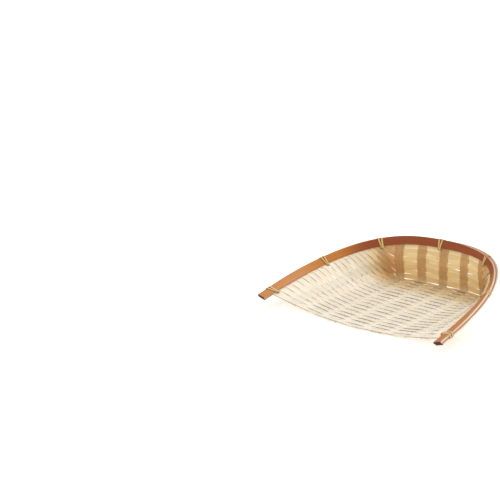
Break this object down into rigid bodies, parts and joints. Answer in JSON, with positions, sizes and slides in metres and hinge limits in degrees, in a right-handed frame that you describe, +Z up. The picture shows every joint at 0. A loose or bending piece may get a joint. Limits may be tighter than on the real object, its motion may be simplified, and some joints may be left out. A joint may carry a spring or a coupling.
{
  "type": "bamboo draining basket",
  "caption": "Shallow open-front basket of plain-woven split bamboo, with a flat floor, a raised back, and a two-hoop rim held by lashings, for draining and serving noodles.",
  "frame": {"origin": "on the ground, under the middle of the whole basket", "axes": "+X to the basket's right, along its greatest width; +Y from the open front to the raised back; +Z up"},
  "size_m": [0.2348, 0.2056, 0.0574],
  "materials": {
    "weft_bamboo": "split bamboo, dry and satin",
    "warp_bamboo": "split bamboo, dry and satin",
    "dyed_hoop_bamboo": "bamboo dyed red-brown, slight gloss",
    "rim_strip_bamboo": "green-yellow bamboo skin, satin",
    "lashing_bamboo": "green-yellow bamboo skin, satin"
  },
  "bodies": {
    "root": {"warp_1": "warp_bamboo", "warp_2": "warp_bamboo", "warp_3": "warp_bamboo", "warp_4": "warp_bamboo", "warp_5": "warp_bamboo", "warp_6": "warp_bamboo", "warp_7": "warp_bamboo", "weft_01": "weft_bamboo", "weft_02": "weft_bamboo", "weft_03": "weft_bamboo", "weft_04": "weft_bamboo", "weft_05": "weft_bamboo", "weft_06": "weft_bamboo", "weft_07": "weft_bamboo", "weft_08": "weft_bamboo", "weft_09": "weft_bamboo", "weft_10": "weft_bamboo", "weft_11": "weft_bamboo", "weft_12": "weft_bamboo", "weft_13": "weft_bamboo", "weft_14": "weft_bamboo", "weft_15": "weft_bamboo", "weft_16": "weft_bamboo", "weft_17": "weft_bamboo", "weft_18": "weft_bamboo", "weft_19": "weft_bamboo", "weft_20": "weft_bamboo", "weft_21": "weft_bamboo", "weft_22": "weft_bamboo", "weft_23": "weft_bamboo", "weft_24": "weft_bamboo", "weft_25": "weft_bamboo", "weft_26": "weft_bamboo", "weft_27": "weft_bamboo", "weft_28": "weft_bamboo", "weft_29": "weft_bamboo", "weft_30": "weft_bamboo", "weft_31": "weft_bamboo", "weft_32": "weft_bamboo", "weft_33": "weft_bamboo", "weft_34": "weft_bamboo", "weft_35": "weft_bamboo", "weft_36": "weft_bamboo", "weft_37": "weft_bamboo", "weft_38": "weft_bamboo", "weft_39": "weft_bamboo", "weft_40": "weft_bamboo", "weft_41": "weft_bamboo", "weft_42": "weft_bamboo", "weft_43": "weft_bamboo", "inner_hoop": "dyed_hoop_bamboo", "outer_hoop": "dyed_hoop_bamboo", "rim_strip": "rim_strip_bamboo", "lashing_1": "lashing_bamboo", "lashing_2": "lashing_bamboo", "lashing_3": "lashing_bamboo", "lashing_4": "lashing_bamboo", "lashing_5": "lashing_bamboo", "lashing_6": "lashing_bamboo", "lashing_7": "lashing_bamboo"}
  },
  "joints": []
}
